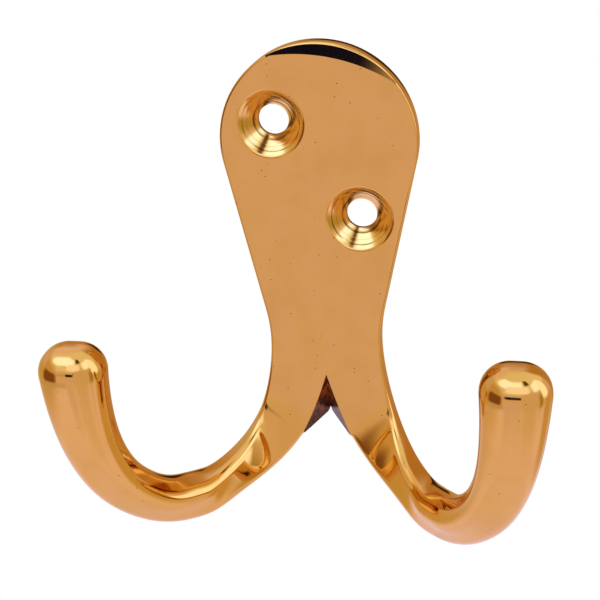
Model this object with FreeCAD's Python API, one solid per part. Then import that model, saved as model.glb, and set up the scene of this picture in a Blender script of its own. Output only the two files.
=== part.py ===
import FreeCAD, Part
import math
import os
from FreeCAD import Vector

os.makedirs("parts", exist_ok=True)

# Double robe hook, one brass casting: a pear shaped back plate with two countersunk
# screw holes, whose foot forks into two arms that bend forwards, splay apart and turn
# up to club shaped ends.
# X is to the right, Y goes into the wall and Z is up.  The origin lies midway between
# the two screws, on the wall face.  Lengths are in millimetres, angles in degrees.

# Back plate
plate_thick = 3.5
disc_rad = 15.5          # round head of the plate
flank_lean = 12.1        # lean of the straight flanks below the head
waist_half = 9.2         # half of the narrowest width, where the legs start
waist_rad = 26.0         # hollow above the waist
edge_round = 0.35        # polished edge all round the plate

# Screw holes, on a diagonal
screw_dx = 13.6
screw_dz = 15.2
screw_left = 0.5         # the pair sits this far left of the plate's centre line
screw_down = 4.5         # and this far below the head's centre
bore_dia = 4.9
sink_dia = 10.6
sink_angle = 90.0

# The front slopes off towards the top edge over a crescent, the upper right more than the left
slope_ring = 28.8        # radius of the line where the slope starts
slope_width = 2.05       # widest part of the crescent
slope_angle = 12.0
slope_turn = 12.0        # the crescent's middle, clockwise from the top

# Fork: a web fills the gap between the legs down to a V shaped notch
fork_drop = 14.2         # point of the notch, below the waist
fork_open = 106.0
web_step = 0.15          # the web lies this far inside the legs, front and back

# Crease: a V filed into the web, from the front down to the back of the notch
crease_drop = 6.2        # start, below the waist
crease_run = 9.0         # height it takes to go through the plate's thickness
crease_open = 72.0

# Arms: a leg goes on down from the waist in the plate's own plane, then the arm bends
# forwards in an upright plane turned out from the wall.  Drops are below the waist.
splay = 53.7
leg_overlap = 0.9        # how far each leg reaches over the middle at the waist
leg_run = 5.4            # straight start of the leg
bend_x = 7.8             # corner where the leg turns out, from the middle
bend_drop = 18.1
arm_reach = 39.6         # run of the arm in its own plane
arm_floor = 22.2         # lowest pole of the centre line
rise_drop = 6.3          # where the arm stands upright
tip_rise = 8.4           # end of the centre line, above the waist
tip_extra = 4.2          # club carried on past it
tip_round = 4.0          # rounding of the club's end

# Arm section, a rounded rectangle, at the poles of the centre line.  The leg is as deep
# as the plate, up to its bend.
bend_half = 4.25         # half width and corner radius at the bend
bend_corner = 0.9
half_width = [2.7, 3.35, 3.6, 3.4, 4.0, 4.9]
half_depth = [2.5, 3.05, 3.2, 3.25, 3.4, 4.5]
corner_rad = [1.4, 1.9, 2.2, 2.4, 2.8, 4.2]
stations = 16

# The head's centre, measured from the origin
head_x = screw_left
head_z = screw_down


def at(x, z, y=0.0):
    """A point measured from the head's centre line and centre."""
    return Vector(head_x + x, y, head_z + z)


def waist():
    """Where the flanks begin and end, and the height of the waist."""
    lean = math.radians(flank_lean)
    out = (math.cos(lean), -math.sin(lean))
    top = (disc_rad * out[0], disc_rad * out[1])
    run = waist_rad * (1 - out[0]) - (waist_half - top[0]) * out[0]
    waist_z = top[1] - run / math.sin(lean)
    hollow_x = waist_half + waist_rad
    foot = (hollow_x - waist_rad * out[0], waist_z - waist_rad * out[1])
    return top, foot, waist_z


def right_outline():
    """Edges of the right half of the plate, from the top of the head to the waist."""
    top, foot, waist_z = waist()
    turn = math.radians(45 - flank_lean / 2)
    mid = math.radians(180 - flank_lean / 2)
    hollow_x = waist_half + waist_rad
    head = Part.Arc(at(0, disc_rad), at(disc_rad * math.cos(turn), disc_rad * math.sin(turn)),
                    at(*top)).toShape()
    flank = Part.LineSegment(at(*top), at(*foot)).toShape()
    hollow = Part.Arc(at(*foot), at(hollow_x + waist_rad * math.cos(mid),
                                    waist_z + waist_rad * math.sin(mid)),
                      at(waist_half, waist_z)).toShape()
    return [head, flank, hollow]


def half_plate():
    """Right half of the plate, its outline edges rounded front and back."""
    waist_z = waist()[2]
    outline = right_outline()
    closing = [Part.LineSegment(at(waist_half, waist_z), at(0, waist_z)).toShape(),
               Part.LineSegment(at(0, waist_z), at(0, disc_rad)).toShape()]
    body = Part.Face(Part.Wire(outline + closing)).extrude(Vector(0, -plate_thick, 0))
    middles = [e.CenterOfMass for e in outline]
    rims = [e for e in body.Edges for m in middles
            if (e.CenterOfMass - m).Length < 1e-4
            or (e.CenterOfMass - m - Vector(0, -plate_thick, 0)).Length < 1e-4]
    return body.makeFillet(edge_round, rims)


def top_slope():
    """Shallow cone that takes the sloping crescent off the front of the head."""
    centre = at(0, disc_rad - slope_width - slope_ring)
    start = at(0, disc_rad - slope_width, -plate_thick)
    reach = 2 * slope_width
    end = start + Vector(0, reach * math.tan(math.radians(slope_angle)), reach)
    face = Part.Face(Part.makePolygon([start, end, end + Vector(0, -plate_thick, 0), start]))
    half_sweep = math.degrees(disc_rad / slope_ring)
    face.rotate(centre, Vector(0, 1, 0), -half_sweep)
    ring = face.revolve(centre, Vector(0, 1, 0), 2 * half_sweep)
    ring.rotate(at(0, 0), Vector(0, 1, 0), slope_turn)
    return ring


def screw_hole(side):
    """Bore and countersink, as one cutter along Y."""
    depth = (sink_dia - bore_dia) / 2 / math.tan(math.radians(sink_angle / 2))
    x, z = side * screw_dx / 2, -side * screw_dz / 2
    bore = Part.makeCylinder(bore_dia / 2, plate_thick + 2, Vector(x, -plate_thick - 1, z),
                             Vector(0, 1, 0))
    grow = 1.0 / depth * (sink_dia - bore_dia) / 2
    sink = Part.makeCone(sink_dia / 2 + grow, bore_dia / 2, depth + 1.0,
                         Vector(x, -plate_thick - 1.0, z), Vector(0, 1, 0))
    return bore.fuse(sink)


def spline(poles):
    """Clamped cubic with evenly spaced knots."""
    spans = len(poles) - 3
    knots = [i / spans for i in range(spans + 1)]
    mults = [4] + [1] * (spans - 1) + [4]
    curve = Part.BSplineCurve()
    curve.buildFromPolesMultsKnots(poles, mults, knots, False, 3)
    return curve


def centre_line():
    """Centre line of the right arm, from the waist to the club."""
    mid = -plate_thick / 2
    turn = math.radians(splay)
    waist_z = waist()[2]
    leg_x = (waist_half - leg_overlap) / 2
    leg = [at(leg_x, waist_z, mid), at(leg_x, waist_z - leg_run, mid)]
    runs = [(0.0, bend_drop), (0.336 * arm_reach, arm_floor - 0.3), (0.455 * arm_reach, arm_floor),
            (0.54 * arm_reach, arm_floor - 0.6), (0.763 * arm_reach, arm_floor - 3.3),
            (arm_reach, rise_drop), (arm_reach, -tip_rise)]
    arm = [at(bend_x + r * math.cos(turn), waist_z - d, mid - r * math.sin(turn))
           for r, d in runs]
    return spline(leg + arm)


def sizes():
    """Half width, half depth and corner radius along the centre line."""
    leg = Vector((waist_half + leg_overlap) / 2, plate_thick / 2, edge_round)
    bend = Vector(bend_half, plate_thick / 2, bend_corner)
    return spline([leg, leg, bend] + [Vector(*s) for s in zip(half_width, half_depth, corner_rad)])


def section(centre, side, front, w, d, r):
    """Rounded rectangle, w and d its half width and half depth, r its corner radius."""
    r = min(r, 0.97 * w, 0.97 * d)
    mid = r * (1 - math.sqrt(0.5))

    def p(x, y):
        return centre + side * x + front * y

    edges = []
    for sx, sy in ((1, 1), (-1, 1), (-1, -1), (1, -1)):
        ends = [(sx * w, sy * (d - r)), (sx * (w - r), sy * d)]
        if sx != sy:
            ends.reverse()
        nxt = (-ends[1][0], ends[1][1]) if sx == sy else (ends[1][0], -ends[1][1])
        edges.append(Part.Arc(p(*ends[0]), p(sx * (w - mid), sy * (d - mid)),
                              p(*ends[1])).toShape())
        edges.append(Part.LineSegment(p(*ends[1]), p(*nxt)).toShape())
    return Part.Wire(edges)


def station(i):
    """Centre, section sizes and directions of the right arm, at station i of its length."""
    path = centre_line()
    u = min(1.0, path.parameterAtDistance(path.length() * i / (stations - 1), 0.0))
    along = path.tangent(u)[0]
    front = Vector(0, -1, 0) - along * along.dot(Vector(0, -1, 0))
    front.normalize()
    return path.value(u), sizes().value(u), along, along.cross(front), front


def arm():
    """Right arm: sections square to the centre line, and a club with a rounded end."""
    rings = []
    for i in range(stations):
        centre, s, along, side, front = station(i)
        rings.append(section(centre, side, front, s.x, s.y, s.z))
    club = Part.Face(rings[-1]).extrude(along * tip_extra)
    end = centre + along * tip_extra
    rim = [e for e in club.Edges if abs((e.CenterOfMass - end).dot(along)) < 1e-4]
    return Part.makeLoft(rings, True, False).fuse(club.makeFillet(tip_round, rim))


def web():
    """Right half of the web: the leg carried on to the middle, cut off along the notch."""
    rings = []
    for i in range(1, 5):
        centre, s, along, side, front = station(i)
        deep, over = front * (s.y - web_step), side * (waist_half + leg_overlap)
        rings.append(Part.makePolygon([centre + deep, centre + over + deep,
                                       centre + over - deep, centre - deep, centre + deep]))
    fork_z = waist()[2] - fork_drop
    fall = waist_half / math.tan(math.radians(fork_open / 2))
    plan = Part.makePolygon([at(0, 0), at(waist_half, 0), at(waist_half, fork_z - fall),
                             at(0, fork_z), at(0, 0)])
    keep = Part.Face(plan).extrude(Vector(0, -arm_reach, 0))
    return Part.makeLoft(rings, True, False).common(keep)


def crease():
    """V shaped cutter between the legs; its valley runs from the front to the notch."""
    fall = Vector(0, plate_thick, -crease_run)
    start = at(0, waist()[2] - crease_drop, -plate_thick) - fall * 0.1
    high = 2.4 * plate_thick
    wide = high * math.tan(math.radians(crease_open / 2))
    tri = Part.makePolygon([start, start + Vector(-wide, -high, 0),
                            start + Vector(wide, -high, 0), start])
    return Part.Face(tri).extrude(fall * 1.5)


def hook():
    """Right half first, ground flat at the back, then its mirror image, then the cuts."""
    far = 2 * arm_reach + disc_rad
    right_side = Part.makeBox(far, far, 2 * far, Vector(head_x, -far, -far))
    half = half_plate().fuse(arm().common(right_side)).fuse(web())
    body = half.fuse(half.mirror(Vector(head_x, 0, 0), Vector(1, 0, 0))).removeSplitter()
    for cutter in (top_slope(), crease(), screw_hole(-1), screw_hole(1)):
        body = body.cut(cutter)
    return body


shape = hook()
solid = shape.Solids[0]
print("solids", len(shape.Solids), "valid", shape.isValid(), "closed", solid.isClosed())
print("volume", round(solid.Volume, 1), "faces", len(solid.Faces), "box", solid.BoundBox)
solid.exportStep("parts/robe_hook.step")
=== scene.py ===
import bpy
import bmesh
import math
from mathutils import Matrix, Vector


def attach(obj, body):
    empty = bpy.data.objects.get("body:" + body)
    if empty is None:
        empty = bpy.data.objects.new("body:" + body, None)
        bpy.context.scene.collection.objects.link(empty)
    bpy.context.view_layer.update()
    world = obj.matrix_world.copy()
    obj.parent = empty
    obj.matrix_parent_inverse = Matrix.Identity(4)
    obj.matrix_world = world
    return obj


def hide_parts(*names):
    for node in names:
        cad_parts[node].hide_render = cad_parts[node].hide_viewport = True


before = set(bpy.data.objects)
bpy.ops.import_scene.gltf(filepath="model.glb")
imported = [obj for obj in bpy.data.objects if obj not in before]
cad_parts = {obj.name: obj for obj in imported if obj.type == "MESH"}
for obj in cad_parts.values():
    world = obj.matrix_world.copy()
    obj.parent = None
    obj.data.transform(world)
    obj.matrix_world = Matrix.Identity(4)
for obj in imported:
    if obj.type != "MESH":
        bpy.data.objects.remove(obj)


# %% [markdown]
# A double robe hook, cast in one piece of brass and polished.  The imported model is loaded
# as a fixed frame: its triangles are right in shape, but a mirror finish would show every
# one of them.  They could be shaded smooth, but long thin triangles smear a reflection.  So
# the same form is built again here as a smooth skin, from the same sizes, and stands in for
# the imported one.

MM = 0.001
for name in ("Cube", "Light", "Camera"):
    if name in bpy.data.objects:
        bpy.data.objects.remove(bpy.data.objects[name])
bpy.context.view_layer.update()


# %% [markdown]
# The sizes are the hook's own, in millimetres.  X is to the right, Y goes into the wall and
# Z is up.  The origin lies midway between the two screws, and the round head of the plate
# has its centre a little to the right of that and above it.

# %% Sizes of the casting
PLATE = 3.5                 # thickness
FRONT = -PLATE              # where the plate's front lies
HEAD = 15.5                 # radius of the round head
HEAD_X, HEAD_Z = 0.5, 4.5   # its centre
LEAN = math.radians(12.1)   # of the straight flanks
WAIST = 9.2                 # half of the narrowest width
HOLLOW = 26.0               # radius of the hollow above the waist
EDGE = 0.35                 # radius of the polished edge


def at(x, z, y=0.0):
    """A point in metres, x and z in mm from the head's centre, y in mm from the wall."""
    return Vector((HEAD_X + x, y, HEAD_Z + z)) * MM


def waist_height():
    """Height of the waist: the straight flank touches the head and the hollow."""
    side, drop = math.cos(LEAN), math.sin(LEAN)
    run = HOLLOW * (1 - side) - (WAIST - HEAD * side) * side
    return -HEAD * drop - run / drop


WAIST_Z = waist_height()
print("waist lies", round(-WAIST_Z, 2), "mm below the head's centre")


# %% [markdown]
# An arm is a bar whose section changes all the way along: as deep as the plate and flat at
# the fork, narrow where it turns forwards, and swelling to a club at the end.  It could be
# a curve with a bevel and a taper, but a taper only scales one section.  So the centre line
# is one smooth spline, and the section's sizes are another.  Poles pull each of them, as
# weights pull a bent strip of wood.

# %% A smooth spline, pulled by a few poles
def spline(poles, u):
    """Point on a clamped cubic spline, u from 0 to 1."""
    spans = len(poles) - 3
    knots = [0] * 3 + list(range(spans + 1)) + [spans] * 3
    t = min(u * spans, spans - 1e-9)
    k = int(t) + 3
    work = [Vector(p) for p in poles[k - 3:k + 1]]
    for level in range(1, 4):
        for j in range(3, level - 1, -1):
            i = j + k - 3
            share = (t - knots[i]) / (knots[i + 4 - level] - knots[i])
            work[j] = work[j - 1].lerp(work[j], share)
    return work[3]


print("halfway along a bow of four poles:", spline([(0, 0), (1, 2), (3, 2), (4, 0)], 0.5)[:])


# %% Centre line and section of the right arm
SPLAY = math.radians(53.7)       # the arm's own plane, turned out from the wall
REACH = 39.6                     # run of the arm in that plane
BEND_X, BEND_DROP = 7.8, 18.1    # corner where the leg turns out
LEG_OVER, LEG_RUN = 0.9, 5.4     # a leg's reach over the middle, and its straight start
RUNS = [(0.0, BEND_DROP), (0.336 * REACH, 21.9), (0.455 * REACH, 22.2), (0.54 * REACH, 21.6),
        (0.763 * REACH, 18.9), (REACH, 6.3), (REACH, -8.4)]     # run, and drop below the waist
LEG = ((WAIST + LEG_OVER) / 2, PLATE / 2, EDGE)
SECTIONS = [LEG, LEG, (4.25, PLATE / 2, 0.9), (2.7, 2.5, 1.4), (3.35, 3.05, 1.9),
            (3.6, 3.2, 2.2), (3.4, 3.25, 2.4), (4.0, 3.4, 2.8),
            (4.9, 4.5, 4.2)]     # half width, half depth and corner radius

leg_x = (WAIST - LEG_OVER) / 2
line = [at(leg_x, WAIST_Z, FRONT / 2), at(leg_x, WAIST_Z - LEG_RUN, FRONT / 2)]
for run, drop in RUNS:
    line.append(at(BEND_X + run * math.cos(SPLAY), WAIST_Z - drop,
                   FRONT / 2 - run * math.sin(SPLAY)))
print("centre line has", len(line), "poles, and the section", len(SECTIONS))


# %% Stations along the arm
STATIONS = 150
FINE = 600             # short straight steps that the length is measured with


def even_stations(count):
    """Spline parameters that are evenly spaced along the centre line, and its length."""
    fine = [spline(line, i / FINE) for i in range(FINE + 1)]
    gone = [0.0]
    for a, b in zip(fine, fine[1:]):
        gone.append(gone[-1] + (b - a).length)
    found, i = [], 0
    for n in range(count):
        goal = gone[-1] * n / (count - 1)
        while i < FINE - 1 and gone[i + 1] < goal:
            i += 1
        found.append((i + (goal - gone[i]) / (gone[i + 1] - gone[i])) / FINE)
    return found, gone[-1]


stations, arm_length = even_stations(STATIONS)
print("arm is", round(arm_length / MM, 1), "mm long on its centre line")


# %% One ring of the arm's skin
CORNER_STEPS = 8
SIDE_STEPS = (0.06, 0.22, 0.5, 0.78, 0.94)   # shares of a flat side, closer at its ends
RING_SIZE = 4 * (CORNER_STEPS + 1 + len(SIDE_STEPS))
FULL_CORNER = 0.97                           # share of a half side that a corner may take


def ring_points(w, d, r, reach, r_in):
    """Points round a rounded rectangle, w and d its half sizes and r its corner radius.
    The side towards the other arm lies at reach, with corners of its own, r_in."""
    r, r_in = (min(c, FULL_CORNER * w, FULL_CORNER * d) for c in (r, r_in))
    corners = []
    for sx, sy, start in ((1, 1, 0), (-1, 1, 90), (-1, -1, 180), (1, -1, 270)):
        half, c = (reach, r_in) if sx > 0 else (w, r)
        turns = [math.radians(start + 90 * j / CORNER_STEPS) for j in range(CORNER_STEPS + 1)]
        corners.append([Vector((sx * (half - c) + c * math.cos(a),
                                sy * (d - c) + c * math.sin(a))) for a in turns])
    spots = []
    for corner, after in zip(corners, corners[1:] + corners[:1]):
        spots += corner + [corner[-1].lerp(after[0], s) for s in SIDE_STEPS]
    return spots


print("a ring has", RING_SIZE, "points")


# %% [markdown]
# Between the legs a web fills the gap, down to a V shaped notch.  It could be a piece of its
# own, but then it would have to be joined to both legs without a line to show for it.  So
# the leg's own rings are stretched on their inner side, to the middle or to the notch.

# %% Lay a ring across the centre line
NOTCH_DROP, NOTCH_OPEN = 14.2 - WAIST_Z, math.radians(106)
PAST_MIDDLE = 0.5      # the web is made this much too wide, and cut off later
STILL_LEG = -0.4       # where the line falls less steeply than this, the leg has ended
WEB_CORNER = 0.15      # smallest corner radius of the web


def web_reach(centre, side, w):
    """How far a ring reaches towards the other arm: to the middle, or down to the notch."""
    x, z = centre.x / MM - HEAD_X, centre.z / MM - HEAD_Z
    steep = 1 / math.tan(NOTCH_OPEN / 2)
    to_middle = x / -side.x + PAST_MIDDLE
    to_notch = (z + NOTCH_DROP + steep * x) / -(side.z + steep * side.x)
    return max(w, min(to_middle, to_notch))


def place_ring(verts, centre, along, w, d, r):
    """Lays a ring of vertices square to the centre line, its front turned to the room."""
    front = Vector((0, -1, 0)) - along * along.dot(Vector((0, -1, 0)))
    front.normalize()
    side = along.cross(front)
    reach = web_reach(centre, side, w) if centre.z < 0 and along.z < STILL_LEG else w
    r_in = max(WEB_CORNER, r - (reach - w))
    for vert, (x, y) in zip(verts, ring_points(w, d, r, reach, r_in)):
        vert.co = centre + (side * x + front * y) * MM


print("point of the notch lies", round(NOTCH_DROP, 2), "mm below the head's centre")


# %% [markdown]
# The skin starts as one ring of vertices.  Each next ring is an extrusion of the last one,
# laid down at the next station.  The club's end goes on in the same way, with rings that
# shrink along a quarter circle, and one last small face closes it.

# %% Extrude the right arm
TIP_EXTRA, TIP_ROUND, TIP_STEPS = 4.2, 4.0, 12   # the club past the line, and its rounding
ASIDE = 1e-4                                     # step to both sides that gives a direction


def extrude_ring(bm, ring):
    """Extrudes a closed ring of vertices and returns the new ring in the same order."""
    edges = [bm.edges.get((a, b)) for a, b in zip(ring, ring[1:] + ring[:1])]
    grown = bmesh.ops.extrude_edge_only(bm, edges=edges)["geom"]
    new = {v for v in grown if isinstance(v, bmesh.types.BMVert)}
    return [next(e.other_vert(v) for e in v.link_edges if e.other_vert(v) in new)
            for v in ring]


def right_arm(bm):
    """Skin of the right arm, open at the waist.  Returns the club's half sizes."""
    ring = bmesh.ops.create_circle(bm, segments=RING_SIZE, radius=MM)["verts"]
    for n, u in enumerate(stations):
        if n:
            ring = extrude_ring(bm, ring)
        ahead, behind = spline(line, min(u + ASIDE, 1)), spline(line, max(u - ASIDE, 0))
        along = (ahead - behind).normalized()
        w, d, r = spline(SECTIONS, u)
        place_ring(ring, spline(line, u), along, w, d, r)
    end = spline(line, 1.0)
    for step in range(TIP_STEPS + 1):
        t = math.radians(90 * step / TIP_STEPS)
        shrink = TIP_ROUND * (1 - math.cos(t))
        rise = TIP_EXTRA - TIP_ROUND + TIP_ROUND * math.sin(t)
        ring = extrude_ring(bm, ring)
        place_ring(ring, end + along * rise * MM, along, w - shrink, d - shrink, r - shrink)
    bm.faces.new(ring)
    return w, d


casting = bmesh.new()
club = right_arm(casting)
print("club is", [round(2 * c, 1) for c in club], "mm across,", len(casting.faces), "faces")


# %% [markdown]
# The two arms grow into each other at the fork.  The right arm is cut off flat at the
# middle of the hook, so that its mirror image closes up with it there.  A V shaped crease
# is then filed between the legs: it starts on the front and runs back to the fork.  One
# wall of it is cut here, and the mirror image brings the other.

# %% Cut the arm off at the middle
def slice_off(bm, faces, point, normal):
    """Cuts away what lies beyond a plane, and returns the edges of the cut."""
    edges = {e for f in faces for e in f.edges}
    verts = {v for f in faces for v in f.verts}
    cut = bmesh.ops.bisect_plane(bm, geom=[*verts, *edges, *faces], dist=1e-7,
                                 plane_co=point, plane_no=normal, clear_outer=True)
    return [e for e in cut["geom_cut"] if isinstance(e, bmesh.types.BMEdge)]


middle_cut = slice_off(casting, casting.faces[:], at(0, 0), Vector((-1, 0, 0)))
print("the cut at the middle has", len(middle_cut), "edges")


# %% File the crease
CREASE_DROP, CREASE_RUN, CREASE_OPEN = 6.2 - WAIST_Z, 9.0, math.radians(72)
BELOW_NOTCH, BEFORE_WALL = 5.0, 2.2 * PLATE    # the file gets no further down or forwards
TURNED, FILED, GROUND, DRILLED = 1, 2, 3, 4    # slots of the finishes, after polished brass

# The right wall holds the valley's line, which falls towards the back, and leans outwards
valley = at(0, -CREASE_DROP, FRONT)
fall = Vector((0, PLATE, -CREASE_RUN)).normalized()
slope = Vector((math.tan(CREASE_OPEN / 2), -1, 0))
wall_normal = slope.cross(fall).normalized()
if wall_normal.x > 0:
    wall_normal.negate()


def in_crease(face):
    """True in the fork, well short of where the arms bend forwards."""
    c = face.calc_center_median()
    return c.z > at(0, -NOTCH_DROP - BELOW_NOTCH).z and c.y > -BEFORE_WALL * MM


near = [f for f in casting.faces if in_crease(f)]
lip = slice_off(casting, near, valley, wall_normal)
lip = [e for e in lip if e.is_valid and len(e.link_faces) == 1]
lip_ends = [v for v in {v for e in lip for v in e.verts}
            if sum(e in lip for e in v.link_edges) == 1]
print("crease lip has", len(lip), "edges and", len(lip_ends), "ends:",
      [[round(c / MM, 2) for c in v.co] for v in lip_ends])
closing = casting.edges.new(lip_ends)
wall = bmesh.ops.contextual_create(casting, geom=[*lip, closing])["faces"]
wall[0].material_index = FILED
print("crease wall:", len(wall), "face of",
      round(sum(f.calc_area() for f in wall) / MM**2, 1), "square mm")


# %% Mirror the arm and close the two up
WELD = 1e-6


def mirror_and_join(bm):
    """Adds the mirror image on the far side of the middle and welds the two there."""
    copy = bmesh.ops.duplicate(bm, geom=[*bm.verts, *bm.edges, *bm.faces])["geom"]
    there, back = Matrix.Translation(at(0, 0)), Matrix.Translation(-at(0, 0))
    flip = there @ Matrix.Scale(-1, 4, (1, 0, 0)) @ back
    moved = [v for v in copy if isinstance(v, bmesh.types.BMVert)]
    bmesh.ops.transform(bm, matrix=flip, verts=moved)
    bmesh.ops.reverse_faces(bm, faces=[f for f in copy if isinstance(f, bmesh.types.BMFace)])
    bmesh.ops.remove_doubles(bm, verts=bm.verts[:], dist=WELD)


mirror_and_join(casting)
open_edges = [e for e in casting.edges if e.is_boundary]
open_heights = [v.co.z / MM for e in open_edges for v in e.verts]
print("open edges after joining the arms:", len(open_edges), "from z",
      round(min(open_heights), 2), "to", round(max(open_heights), 2))
print("edges with more than two faces:", sum(len(e.link_faces) > 2 for e in casting.edges))


# %% [markdown]
# The plate is a flat casting with a pear shaped outline.  A circle and a wedge joined by a
# boolean would give the outline, but not its even points.  Here it is drawn as with
# compasses: a point is turned round the head, pulled down the straight flank and turned the
# other way round the hollow.  The drawing starts at the two ends of a crescent at the top,
# which leans to the right, so each side is drawn on its own.

# %% Where the crescent lies
SLOPE_RING, SLOPE_WIDTH = 28.8, 2.05     # radius of its lower arc, and its widest part
SLOPE, SLOPE_TURN = math.radians(12), math.radians(12)   # how steep, how far from the top
HEAD_MID = at(0, 0, FRONT)
ring_drop = SLOPE_RING - (HEAD - SLOPE_WIDTH)
RING_MID = at(-ring_drop * math.sin(SLOPE_TURN), -ring_drop * math.cos(SLOPE_TURN), FRONT)
half_span = math.acos((SLOPE_RING**2 - HEAD**2 - ring_drop**2) / (2 * HEAD * ring_drop))
half_sweep = math.asin(HEAD * math.sin(half_span) / SLOPE_RING)
print("the crescent takes", round(math.degrees(2 * half_span), 1), "degrees of the head")


# %% Outline of the plate
SLOPE_STEPS, HEAD_STEPS, HOLLOW_STEPS = 56, 30, 12


def turn(bm, vert, centre, degrees, steps):
    """Turns a vertex round a centre, clockwise as seen from the room, and returns the
    last one."""
    done = bmesh.ops.spin(bm, geom=[vert], cent=centre, axis=Vector((0, 1, 0)),
                          angle=math.radians(degrees), steps=steps)
    return [v for v in done["geom_last"] if isinstance(v, bmesh.types.BMVert)][0]


def pull(bm, vert, spot):
    """Pulls a new vertex out of one and sets it down at a spot."""
    new = bmesh.ops.extrude_vert_indiv(bm, verts=[vert])["verts"][0]
    new.co = spot
    return new


def side_outline(bm, corner, hand, to_flank):
    """Outline of one side, from an end of the crescent down to the waist."""
    spot = turn(bm, corner, HEAD_MID, hand * to_flank, HEAD_STEPS)
    foot = WAIST + HOLLOW * (1 - math.cos(LEAN)), WAIST_Z + HOLLOW * math.sin(LEAN)
    spot = pull(bm, spot, at(hand * foot[0], foot[1], FRONT))
    hollow_mid = at(hand * (WAIST + HOLLOW), WAIST_Z, FRONT)
    return turn(bm, spot, hollow_mid, -hand * math.degrees(LEAN), HOLLOW_STEPS)


plate = bmesh.new()
corner_angle = SLOPE_TURN + half_span
corner = at(HEAD * math.sin(corner_angle), HEAD * math.cos(corner_angle), FRONT)
right_end = plate.verts.new(corner)
left_end = turn(plate, right_end, HEAD_MID, -2 * math.degrees(half_span), SLOPE_STEPS)
flank_top = 90 + math.degrees(LEAN)
feet = [side_outline(plate, right_end, 1, flank_top - math.degrees(half_span + SLOPE_TURN)),
        side_outline(plate, left_end, -1, flank_top - math.degrees(half_span - SLOPE_TURN))]
print("outline ends at", [[round(c / MM, 2) for c in v.co] for v in feet])


# %% [markdown]
# Towards the top the front slopes off over the crescent, as if it had been filed down there.
# A boolean with a shallow cone would leave uneven faces along the line, and a mirror shows
# them.  So the line itself is drawn as an arc, the crescent above it is divided into even
# strips, and each point in it is set back as far as the cone would take it.

# %% Fill the front on both sides of the line
def on_arc(bm, centre, radius):
    """The vertices of the crescent that lie on an arc, from left to right."""
    found = []
    for vert in bm.verts:
        out = vert.co - HEAD_MID
        if (abs(math.atan2(out.x, out.z) - SLOPE_TURN) < half_span + 1e-5
                and abs((vert.co - centre).length - radius * MM) < WELD):
            found.append(vert)
    return sorted(found, key=lambda v: v.co.x)


turn(plate, right_end, RING_MID, -2 * math.degrees(half_sweep), SLOPE_STEPS)
bmesh.ops.remove_doubles(plate, verts=plate.verts[:], dist=WELD)
upper = on_arc(plate, HEAD_MID, HEAD)
lower = on_arc(plate, RING_MID, SLOPE_RING)
low_edges = [plate.edges.get(pair) for pair in zip(lower, lower[1:])]
top_edges = [plate.edges.get(pair) for pair in zip(upper, upper[1:])]
plate.edges.new(sorted(plate.verts, key=lambda v: v.co.z)[:2])
rest = [e for e in plate.edges if e not in top_edges and e not in low_edges]
bmesh.ops.contextual_create(plate, geom=low_edges + top_edges)
bmesh.ops.contextual_create(plate, geom=low_edges + rest)
print("plate front:", [len(f.verts) for f in plate.faces], "corners in its faces")


# %% Slope the crescent off
STRIP_CUTS = 5
across = []
for a, b in zip(upper[1:-1], lower[1:-1]):
    across += bmesh.ops.connect_verts(plate, verts=[a, b])["edges"]
bmesh.ops.subdivide_edges(plate, edges=across, cuts=STRIP_CUTS, use_grid_fill=True)
for vert in plate.verts:
    out = (vert.co - RING_MID).length / MM - SLOPE_RING
    if out > 1e-6:
        vert.co.y = (FRONT + out * math.tan(SLOPE)) * MM
top_y = max(v.co.y for v in plate.verts) / MM
print("slope drops", round(top_y - FRONT, 2), "mm at the top")


# %% [markdown]
# The front is extruded back to the wall, which gives the plate its thickness.  The wheel has
# taken the sharpness off the edge all round, front and back: a narrow round bevel, which
# catches a thin line of light.  The cut at the waist gets none, because the arms go on there.

# %% Give the plate its thickness
grown = bmesh.ops.extrude_face_region(plate, geom=plate.faces[:])["geom"]
for vert in (v for v in grown if isinstance(v, bmesh.types.BMVert)):
    vert.co.y = 0
backs = [f for f in grown if isinstance(f, bmesh.types.BMFace)]
bmesh.ops.dissolve_faces(plate, faces=backs)
bmesh.ops.recalc_face_normals(plate, faces=plate.faces[:])
print("plate is", PLATE, "mm thick and has", len(plate.faces), "faces")


# %% Polish its edges round
UPRIGHT = 0.3          # a wall's normal has less than this along Y
CLEAR_EDGE = 0.6       # radians between the two faces of a rim
EDGE_STEPS = 4


def waist_faces(bm):
    """Faces of the flat cut at the waist."""
    level = at(0, WAIST_Z).z
    return [f for f in bm.faces if all(abs(v.co.z - level) < 1e-7 for v in f.verts)]


foot = waist_faces(plate)
walls = [f for f in plate.faces if abs(f.normal.y) < UPRIGHT and f not in foot]
rims = {e for f in walls for e in f.edges
        if len(e.link_faces) == 2 and e.calc_face_angle() > CLEAR_EDGE
        and not any(g in foot for g in e.link_faces)}
print("rims:", len(rims), "edges, foot", len(foot))
bmesh.ops.bevel(plate, geom=list(rims), offset=EDGE * MM, offset_type="OFFSET",
                segments=EDGE_STEPS, profile=0.5, affect="EDGES", material=-1)
bmesh.ops.delete(plate, geom=waist_faces(plate), context="FACES_ONLY")


# %% [markdown]
# Two countersunk screws hold the hook, on a diagonal.  A boolean would cut the holes, but it
# leaves slivers on the flat front, which a mirror shows.  So each hole is grown from a ring
# on the front: round a rim that buffing has softened, down the cone, and through the bore to
# the back.  Both flat faces are then filled again round the holes.

# %% Rings of a hole
SCREWS = ((-6.8, 7.6), (6.8, -7.6))
BORE, SINK = 4.9 / 2, 10.6 / 2     # radii of the bore and of the countersink
SINK_LEAN = 45                     # degrees between the cone and the bore
SOFT_RIM = 0.3                     # how far buffing has softened the countersink's rim
HOLE_SIDES, HOLE_STEPS = 96, 6


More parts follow.
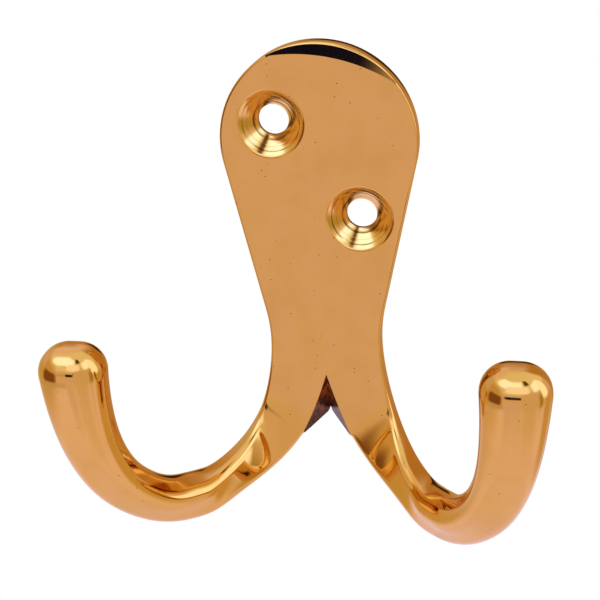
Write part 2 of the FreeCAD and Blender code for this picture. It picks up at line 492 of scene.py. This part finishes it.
def ring_at(bm, x, z, y, radius):
    """A ring of vertices that faces the room."""
    upright = Matrix.Rotation(math.radians(90), 4, "X")
    place = Matrix.Translation(Vector((x, y, z)) * MM) @ upright
    return bmesh.ops.create_circle(bm, segments=HOLE_SIDES, radius=radius * MM,
                                   matrix=place)["verts"]


def grow_ring(bm, ring, radius, y):
    """Extrudes a ring of a hole to another radius and depth."""
    centre = sum((v.co for v in ring), Vector()) / len(ring)
    ring = extrude_ring(bm, ring)
    for vert in ring:
        arm = vert.co - centre
        arm.y = 0
        vert.co = centre + arm.normalized() * radius * MM
        vert.co.y = y * MM
    return ring


print("screws lie", round((Vector(SCREWS[0]) - Vector(SCREWS[1])).length, 2), "mm apart")


# %% Drill and countersink the plate
def flat_face(bm, y):
    """The largest face on the plane y, pressed quite flat."""
    flat = [f for f in bm.faces if all(abs(v.co.y - y * MM) < 1e-5 for v in f.verts)]
    widest = max(flat, key=lambda f: f.calc_area())
    for vert in widest.verts:
        vert.co.y = y * MM
    return widest


def soften_rim(bm, ring):
    """Takes a ring from the flat front round the soft rim."""
    soft_rad = SOFT_RIM / math.tan(math.radians(SINK_LEAN / 2))
    for step in range(1, HOLE_STEPS + 1):
        lean = math.radians(SINK_LEAN * step / HOLE_STEPS)
        ring = grow_ring(bm, ring, SINK + SOFT_RIM - soft_rad * math.sin(lean),
                         FRONT + soft_rad * (1 - math.cos(lean)))
    return ring


def cut_cone(bm, ring):
    """Takes a ring from the soft rim down to the bore."""
    soft_depth = SOFT_RIM * math.sin(math.radians(SINK_LEAN))
    for step in range(1, HOLE_STEPS + 1):
        down = soft_depth + (SINK - BORE - soft_depth) * step / HOLE_STEPS
        ring = grow_ring(bm, ring, SINK - down, FRONT + down)
    return ring


def pierce(bm):
    """Drills and countersinks both holes, and fills the flat faces again round them."""
    front, back = flat_face(bm, FRONT), flat_face(bm, 0)
    front_edges, back_edges = list(front.edges), list(back.edges)
    bmesh.ops.delete(bm, geom=[front, back], context="FACES_ONLY")
    cones, bores = [], []
    for x, z in SCREWS:
        ring = ring_at(bm, x, z, FRONT, SINK + SOFT_RIM)
        front_edges += [bm.edges.get(pair) for pair in zip(ring, ring[1:] + ring[:1])]
        ring = soften_rim(bm, ring)
        old = set(bm.faces)
        ring = cut_cone(bm, ring)
        cones += [f for f in bm.faces if f not in old]
        old = set(bm.faces)
        ring = grow_ring(bm, ring, BORE, 0)
        bores += [f for f in bm.faces if f not in old]
        back_edges += [bm.edges.get(pair) for pair in zip(ring, ring[1:] + ring[:1])]
    for edges, facing in ((front_edges, -1), (back_edges, 1)):
        bmesh.ops.triangle_fill(bm, use_beauty=True, edges=edges, normal=(0, facing, 0))
    return cones, bores


for finish, faces in zip((TURNED, DRILLED), pierce(plate)):
    for face in faces:
        face.material_index = finish
print("plate has", len(plate.faces), "faces,",
      sum(f.material_index == TURNED for f in plate.faces), "of them in the countersinks")


# %% [markdown]
# The plate ends at the waist in an open loop of edges, and so do the two arms.  To merge the
# loops point by point, both would need the same points.  A bridge only needs two loops, so
# the plate's is lifted a little, and the narrow strip between the two closes the skin.

# %% Join the plate to the arms
SEAM = 0.2             # mm that the plate's open foot is lifted
loop = [e for e in plate.edges if e.is_boundary]
print("plate's open foot:", len(loop), "edges")
for vert in {v for e in loop for v in e.verts}:
    vert.co.z += SEAM * MM
half_made = bpy.data.meshes.new("plate")
plate.to_mesh(half_made)
casting.from_mesh(half_made)
bpy.data.meshes.remove(half_made)
open_loops = [e for e in casting.edges if e.is_boundary]
bmesh.ops.bridge_loops(casting, edges=open_loops)
bmesh.ops.recalc_face_normals(casting, faces=casting.faces[:])
volume = casting.calc_volume(signed=True) / MM**3
print("after joining:", sum(not e.is_manifold for e in casting.edges), "open edges,",
      len(casting.faces), "faces, volume", round(volume), "cubic mm")


# %% [markdown]
# A mirror shows at once where shading and shape disagree.  So the truly flat faces stay flat,
# all others are shaded smooth, and an edge that turns by more than the small steps of a
# round is a real edge and is marked sharp.  The back was held to a grinding belt, so its
# faces take a finish of their own.

# %% Smooth skin, sharp edges
SHARP = math.radians(24)
FACES_BACK, AT_WALL = 0.97, 0.1      # least part of a back face's normal along Y, and mm off
for face in casting.faces:
    flat = all(abs(v.co.y - face.verts[0].co.y) < 1e-8 for v in face.verts)
    face.smooth = not flat
    if face.normal.y > FACES_BACK and face.calc_center_median().y > -AT_WALL * MM:
        face.material_index = GROUND
for edge in casting.edges:
    if len(edge.link_faces) == 2 and edge.calc_face_angle() > SHARP:
        edge.smooth = False
print(sum(f.material_index == GROUND for f in casting.faces), "ground faces,",
      sum(not e.smooth for e in casting.edges), "sharp edges")


# %% Hand over
skin = bpy.data.meshes.new("robe_hook_brass")
casting.to_mesh(skin)
brass_hook = bpy.data.objects.new("robe_hook_brass", skin)
bpy.context.scene.collection.objects.link(brass_hook)
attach(brass_hook, "root")
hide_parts("robe_hook")
print("the skin has", len(skin.vertices), "points and", len(skin.polygons), "faces")


# %% [markdown]
# The whole casting is buffed bright, so its colour is mostly that of the room in it.  What
# is left of the work still shows from close by, and differs from place to place.  So there
# are five finishes, one small material each, in the order of the skin's slots.  A pattern
# reads Object coordinates, so it stays where it is on the hook from any side, and its size
# is a real one in millimetres.

# %% Colours and nodes
BRASS = "E3B262"       # cast brass, as yellow as it looks under white light
WHITE = [1.0, 1.0, 1.0, 1.0]


def to_linear(hex_code):
    """Linear colour of an sRGB hex code."""
    parts = [int(hex_code[i:i + 2], 16) / 255 for i in (0, 2, 4)]
    return [*(c / 12.92 if c <= 0.04045 else ((c + 0.055) / 1.055)**2.4 for c in parts), 1.0]


def add_node(tree, kind, *sources, links=(), **values):
    """One node with its settings.  Sources feed its first sockets in order, and links feed
    sockets by name or number.  Each is a node, a socket or a constant."""
    node = tree.nodes.new("ShaderNode" + kind)
    for name, value in values.items():
        setattr(node, name, value)
    for socket, source in [*enumerate(sources), *links]:
        source = source.outputs[0] if hasattr(source, "outputs") else source
        if hasattr(source, "node"):
            tree.links.new(source, node.inputs[socket])
        else:
            node.inputs[socket].default_value = source
    return node


print("brass in linear light:", [round(c, 3) for c in to_linear(BRASS)[:3]])


# %% A bare metal, and its dressing
def metal(title, roughness, hex_code=BRASS):
    """A bare metal in the skin's next slot: its tree, its shader and the place on the hook."""
    brass = bpy.data.materials.new(title)
    brass.use_nodes = True
    tree = brass.node_tree
    shader = tree.nodes["Principled BSDF"]
    shader.inputs["Base Color"].default_value = to_linear(hex_code)
    shader.inputs["Metallic"].default_value = 1.0
    shader.inputs["Roughness"].default_value = roughness
    skin.materials.append(brass)
    return tree, shader, add_node(tree, "TexCoord").outputs["Object"]


def dress(tree, shader, tints, relief, depth):
    """Lays tints over the base colour, each by its share from 0 to 1, and raises the surface
    by a relief from 0 to 1, at most depth mm."""
    colour = list(shader.inputs["Base Color"].default_value)
    for share, hex_code in tints:
        colour = add_node(tree, "Mix", share, links=[(6, colour), (7, to_linear(hex_code))],
                          data_type="RGBA").outputs[2]
    bump = add_node(tree, "Bump", links=[("Height", relief), ("Distance", depth * MM),
                                         ("Strength", 1.0)])
    tree.links.new(colour, shader.inputs["Base Color"])
    tree.links.new(bump.outputs[0], shader.inputs["Normal"])


print("slots filled so far:", len(skin.materials))


# %% [markdown]
# Cast brass, ground and then buffed on a cloth wheel, is all but a mirror: to the eye it is
# the room, tinted a warm yellow.  One roughness and one colour all over would look like
# foil.  So handling leaves duller clouds, the alloy is a little yellower here and there,
# small pits show as specks, and the wheel leaves a grain along the height.

# %% Polished brass
CLOUD, ALLOY, PIT_GAP = 7.0, 4.0, 1.9     # sizes in mm
GRAIN = 0.5                               # drawn coarser than the real 0.05 mm, to show
tree, shader, spots = metal("polished brass", 0.04)
clouds = add_node(tree, "TexNoise", spots, links=[("Scale", 1 / (CLOUD * MM))])
hue = add_node(tree, "TexNoise", spots, links=[("Scale", 1 / (ALLOY * MM)), ("Detail", 4.0)])
pits = add_node(tree, "TexVoronoi", spots, links=[("Scale", 1 / (PIT_GAP * MM))])
upwards = add_node(tree, "VectorMath", spots, (1, 1, 1 / 9), operation="MULTIPLY")
grain = add_node(tree, "TexNoise", upwards, links=[("Scale", 1 / (GRAIN * MM)),
                                                   ("Detail", 3.0)])
duller = add_node(tree, "MapRange", clouds, 0.35, 0.7, 0.025, 0.075)
tree.links.new(duller.outputs[0], shader.inputs["Roughness"])
browner = add_node(tree, "MapRange", clouds, 0.45, 0.75, 0.0, 0.10)
yellower = add_node(tree, "MapRange", hue, 0.42, 0.62, 0.0, 0.35)
speck = add_node(tree, "MapRange", pits.outputs["Distance"], 0.035, 0.07, 1.0, 0.0)
dress(tree, shader, [(browner, "A8743A"), (yellower, "D9AE4E"), (speck, "8A5A34")],
      grain, 0.0016)
print("polished brass has", len(tree.nodes), "nodes")


# %% [markdown]
# The seats of the screws were turned with a cutter, and no wheel gets into them.  Its fine
# rings catch the lamps in wedges, and the deeper ones hold a little dirt.  A wave texture
# makes rings too, but round one centre only, and evenly.  So noise of one dimension reads
# the distance from the nearer screw.

# %% Turned brass, in the screw seats
RING_GAP, WORN_PATCH = 0.55, 3.0     # mm; the rings are coarser than the real 0.1 mm, to show
tree, shader, spots = metal("turned brass", 0.10, "EEC373")   # paler, because it isn't buffed
distances = []
for x, z in SCREWS:
    off = add_node(tree, "VectorMath", spots, (x * MM, 0, z * MM), operation="SUBTRACT")
    flat = add_node(tree, "VectorMath", off, (1, 0, 1), operation="MULTIPLY")
    distances.append(add_node(tree, "VectorMath", flat, operation="LENGTH").outputs["Value"])
away = add_node(tree, "Math", *distances, operation="MINIMUM")
rings = add_node(tree, "TexNoise", links=[("W", away), ("Scale", 1 / (RING_GAP * MM)),
                                          ("Detail", 3.0)], noise_dimensions="1D")
around = add_node(tree, "TexNoise", spots, links=[("Scale", 1 / (WORN_PATCH * MM))])
dark = add_node(tree, "MapRange", rings, 0.38, 0.47, 0.9, 0.0)
kept = add_node(tree, "MapRange", around, 0.4, 0.6, 0.15, 1.0)   # breaks the dark rings up
worn = add_node(tree, "Math", dark, kept, operation="MULTIPLY")
dress(tree, shader, [(worn, "6E4A1E")], rings, 0.018)
print("turned brass has", len(tree.nodes), "nodes")


# %% [markdown]
# The crease was filed by hand and then left: the file's marks run down it, and polish and
# dirt sit in them.  Its colour is painted darker towards the deep end, as painted shade in
# the crease.  To the eye it is a dark, scratched patch in the middle of the shine.  Noise
# drawn out along the height gives the marks, wider noise the stains, and the height itself
# the painted shade.

# %% Filed brass, in the crease, with painted shade
FILE_MARK, STAIN = 0.35, 1.6              # mm across
# heights of the crease's painted shade: darkest at the first, gone at the second
SHADE_DARKEST, SHADE_GONE = 14.5, 9.0             # mm below the waist
tree, shader, spots = metal("filed brass with painted shade", 0.30, "CC8A52")
upwards = add_node(tree, "VectorMath", spots, (1, 1, 1 / 12), operation="MULTIPLY")
marks = add_node(tree, "TexNoise", upwards, links=[("Scale", 1 / (FILE_MARK * MM)),
                                                   ("Detail", 3.0)])
upwards = add_node(tree, "VectorMath", spots, (1, 1, 1 / 2), operation="MULTIPLY")
stain = add_node(tree, "TexNoise", upwards, links=[("Scale", 1 / (STAIN * MM))])
height = add_node(tree, "SeparateXYZ", spots).outputs["Z"]
# painted shade: the colour darkens towards the deep end of the crease
crease_shade = add_node(tree, "MapRange", height, at(0, WAIST_Z - SHADE_DARKEST).z,
                at(0, WAIST_Z - SHADE_GONE).z, 0.95, 0.0)
stained = add_node(tree, "MapRange", stain, 0.4, 0.6, 0.0, 0.5)
scratched = add_node(tree, "MapRange", marks, 0.40, 0.46, 0.8, 0.0)
dress(tree, shader, [(crease_shade, "4A2A22"), (stained, "4A2A22"), (scratched, "2A1A18")],
      marks, 0.02)
print("filed brass with painted shade has", len(tree.nodes), "nodes")


# %% [markdown]
# The back was ground flat on a belt, so that it lies close to the wall, and nobody polished
# it.  It has a satin look, with strokes along the height.  Anisotropy would give the sheen
# but not the single strokes, so noise drawn out forty times gives both.

# %% Ground brass, on the back
STROKE = 0.3           # mm across, coarser than the real belt marks, to show
tree, shader, spots = metal("ground brass", 0.34, "D9A864")
upwards = add_node(tree, "VectorMath", spots, (1, 1, 1 / 40), operation="MULTIPLY")
strokes = add_node(tree, "TexNoise", upwards, links=[("Scale", 1 / (STROKE * MM)),
                                                     ("Detail", 3.0)])
darker = add_node(tree, "MapRange", strokes, 0.38, 0.62, 0.28, 0.0)
dress(tree, shader, [(darker, "9A7038")], strokes, 0.005)
print("ground brass has", len(tree.nodes), "nodes")


# %% [markdown]
# The bores are as the drill left them, dull, with its marks running round, and their base
# colour is a dark brown, as painted shade inside the holes.  Little of them shows, so one
# noise, short along the bore and long across it, is enough.

# %% Drilled brass, in the bores, with painted shade
DRILL_MARK = 0.3       # mm
# the dark brown base colour, 7A5228, is painted shade inside the holes
tree, shader, spots = metal("drilled brass with painted shade", 0.3, "7A5228")
inwards = add_node(tree, "VectorMath", spots, (1 / 4, 1, 1 / 4), operation="MULTIPLY")
turns = add_node(tree, "TexNoise", inwards, links=[("Scale", 1 / (DRILL_MARK * MM))])
darker = add_node(tree, "MapRange", turns, 0.4, 0.6, 0.5, 0.0)
dress(tree, shader, [(darker, "3E2816")], turns, 0.01)
print("drilled brass with painted shade has", len(tree.nodes), "nodes")


# %% [markdown]
# Polished brass has hardly a colour of its own to show: what is seen is the room in it.
# Lamps and boards could stand round the hook, but they would light it from close by, and
# each would have to be hidden from the camera.  So the room is painted on the world.  It can
# be read back from the photograph: white paper below and in front of the hook, a dark
# camera straight ahead, a dim warm room on both sides and bright lamps above.  Each of these
# is one soft edged card, placed by its direction as seen from the hook: azimuth 0 is
# straight ahead of the plate and positive to the right, and elevation is upwards.

# %% Where a ray goes
world = bpy.data.worlds.new("studio")
bpy.context.scene.world = world
world.use_nodes = True
room = world.node_tree
ray = add_node(room, "SeparateXYZ", add_node(room, "TexCoord").outputs["Generated"]).outputs
ahead = add_node(room, "Math", ray["Y"], -1.0, operation="MULTIPLY")
azimuth_of_ray = add_node(room, "Math", ray["X"], ahead, operation="ARCTAN2")
elevation_of_ray = add_node(room, "Math", ray["Z"], operation="ARCSINE")
print("the world reads", [s.name for s in ray])


# %% The cards
PAPER = "F8E4FF"       # chosen for the tan that brass shows over it in the photograph

# What it is, colour, level, azimuth, elevation, half width, half height, width of its soft
# edge, all five in degrees.  A card 400 degrees wide goes all the way round.
CARDS = (
    ("paper below", PAPER, 1.04, 0, -60, 400, 32, 10),
    ("pale walls", "EED8D4", 1.0, 0, -2, 400, 26, 14),
    ("wall behind", "C89858", 1.0, 178, 8, 42, 44, 16),
    ("paper in front, right", "ECD6D3", 1.0, 35, -5, 29, 39, 20),
    ("warm wall, left", "DDBE88", 1.0, -90, 2, 56, 38, 20),
    ("dark doorway, left", "8A5F3E", 1.0, -57, -4, 26, 18, 9),
    ("table edge, left", "D6C4B0", 1.0, -50, -26, 34, 7, 7),
    ("warm wall, right", "DDBB7E", 1.0, 118, -26, 22, 20, 16),
    ("curtain", "BCA35C", 1.0, 76, -8, 8, 20, 10),
    ("paper in front", "EED9ED", 1.0, -10, -24, 14, 20, 10),
    ("camera", "14163C", 1.0, -8, 11, 13, 5, 4),
    ("lamp ahead", "B8CAFF", 3.2, -38, 61, 48, 15, 9),
    ("lamp above the camera", "C6CCF0", 2.3, 8, 42, 30, 13, 7),
    ("lamp on the right", "B8CAFF", 3.0, 80, 41, 26, 15, 9),
    ("window under it", "D0D7FF", 2.4, 98, 20, 15, 26, 7),
    ("dark ceiling patch", "6E4E34", 1.0, 38, 68, 16, 10, 8),
    ("dark corner behind", "3A2A1C", 1.0, 180, 3, 12, 10, 6),
    ("window behind, left", "F1E0F3", 1.1, -148, 47, 38, 20, 20),
    ("pale wall, left", "E7D2CC", 1.0, -112, 21, 20, 14, 13),
)
print(len(CARDS), "cards,", sum(values[1] > 2 for title, *values in CARDS), "of them bright")


# %% Lay the cards over each other
ROUND_CORNER = 4.0     # 2 would make a card an ellipse, and much more a sharp rectangle


def share_out(angle, centre, half, wraps):
    """How far an angle lies from a card's centre, as a share of its half size."""
    off = add_node(room, "Math", angle, math.radians(centre), operation="SUBTRACT")
    if wraps:
        off = add_node(room, "Math", off, math.pi, -math.pi, operation="WRAP")
    share = add_node(room, "Math", off, math.radians(half), operation="DIVIDE")
    return add_node(room, "Math", share, operation="ABSOLUTE")


def card(below, hex_code, level, azimuth, elevation, half_wide, half_high, soft):
    """Lays a soft edged card with rounded corners over what lies below it."""
    both = [add_node(room, "Math", share, ROUND_CORNER, operation="POWER")
            for share in (share_out(azimuth_of_ray, azimuth, half_wide, True),
                          share_out(elevation_of_ray, elevation, half_high, False))]
    added = add_node(room, "Math", *both, operation="ADD")
    reach = add_node(room, "Math", added, 1 / ROUND_CORNER, operation="POWER")
    fade = soft / min(half_wide, half_high)
    mask = add_node(room, "MapRange", reach, 1 - fade / 2, 1 + fade / 2, 1.0, 0.0,
                    interpolation_type="SMOOTHSTEP")
    tint = [c * level for c in to_linear(hex_code)[:3]] + [1.0]
    return add_node(room, "Mix", mask, links=[(6, below), (7, tint)],
                    data_type="RGBA").outputs[2]


sky = WHITE
for title, *values in CARDS:
    sky = card(sky, *values)
seen = add_node(room, "LightPath").outputs["Is Camera Ray"]
shown = add_node(room, "Mix", seen, links=[(6, sky), (7, WHITE)], data_type="RGBA").outputs[2]
room.links.new(shown, room.nodes["Background"].inputs["Color"])
print("the room has", len(room.nodes), "nodes")


# %% [markdown]
# In the photograph the hook lies on nothing that can be seen: all round it is white.  A
# floor under a bright lamp could burn out to that white, but it would light the hook from
# below.  So the floor is a disc of matt paper well below the hook, which the camera and
# mirrors see as plain white, while it lights the hook no more than paper does.

# %% Floor
FLOOR_RADIUS, FLOOR_Z = 0.4, -0.6
bpy.ops.mesh.primitive_circle_add(vertices=96, radius=FLOOR_RADIUS, fill_type="NGON",
                                  location=(0, 0, FLOOR_Z))
floor = bpy.context.object
floor.name = "floor"
paper = bpy.data.materials.new("matt white paper")
paper.use_nodes = True
tree = paper.node_tree
matt = tree.nodes["Principled BSDF"]
matt.inputs["Base Color"].default_value = to_linear("F4F4F4")
matt.inputs["Roughness"].default_value = 0.9
rays = add_node(tree, "LightPath").outputs
direct = add_node(tree, "Math", rays["Is Camera Ray"], rays["Is Glossy Ray"],
                  operation="MAXIMUM")
direct = add_node(tree, "Math", direct, rays["Is Transmission Ray"], operation="MAXIMUM")
shade = add_node(tree, "Mix", rays["Is Camera Ray"],
                 links=[(6, to_linear(PAPER)), (7, WHITE)], data_type="RGBA").outputs[2]
either = add_node(tree, "MixShader", direct, matt, add_node(tree, "Emission", shade, 1.0))
tree.links.new(either.outputs[0], tree.nodes["Material Output"].inputs["Surface"])
floor.data.materials.append(paper)
print("floor is a disc of", round(floor.dimensions.x, 2), "m")


# %% [markdown]
# The photograph was taken from a little to the right of the hook and above it, and from so
# close that what stands nearer looks clearly larger.  A Track To constraint would keep the
# camera level, but the photograph is turned by a few degrees.  So the camera's axes are
# worked out here, and its lens gives as many pixels to a millimetre as the photograph has.

# %% Camera
AZ, EL, ROLLED = math.radians(12.077), math.radians(23.66), math.radians(2.842)
TARGET = Vector((-4.631 + HEAD_X, 0, -27.925 + HEAD_Z)) * MM    # middle of the picture
DISTANCE, PX_PER_MM = 184.96, 5.971
SENSOR, FRAME_PX = 36, 600
toward = Vector((math.sin(AZ) * math.cos(EL), -math.cos(AZ) * math.cos(EL), math.sin(EL)))
level = Vector((0, 0, 1)).cross(toward).normalized()
above = toward.cross(level)
right = level * math.cos(ROLLED) - above * math.sin(ROLLED)
up = level * math.sin(ROLLED) + above * math.cos(ROLLED)
lens = bpy.data.cameras.new("camera")
lens.sensor_width = SENSOR
lens.lens = SENSOR * PX_PER_MM * DISTANCE / FRAME_PX
lens.clip_start, lens.clip_end = 0.01, 20
camera = bpy.data.objects.new("camera", lens)
camera.matrix_world = Matrix.Translation(TARGET + toward * DISTANCE * MM) @ Matrix(
    (right, up, toward)).transposed().to_4x4()
bpy.context.scene.collection.objects.link(camera)
bpy.context.scene.camera = camera
bpy.context.scene.view_settings.view_transform = "Standard"
print("camera has a lens of", round(lens.lens, 1), "mm,", DISTANCE, "mm away")
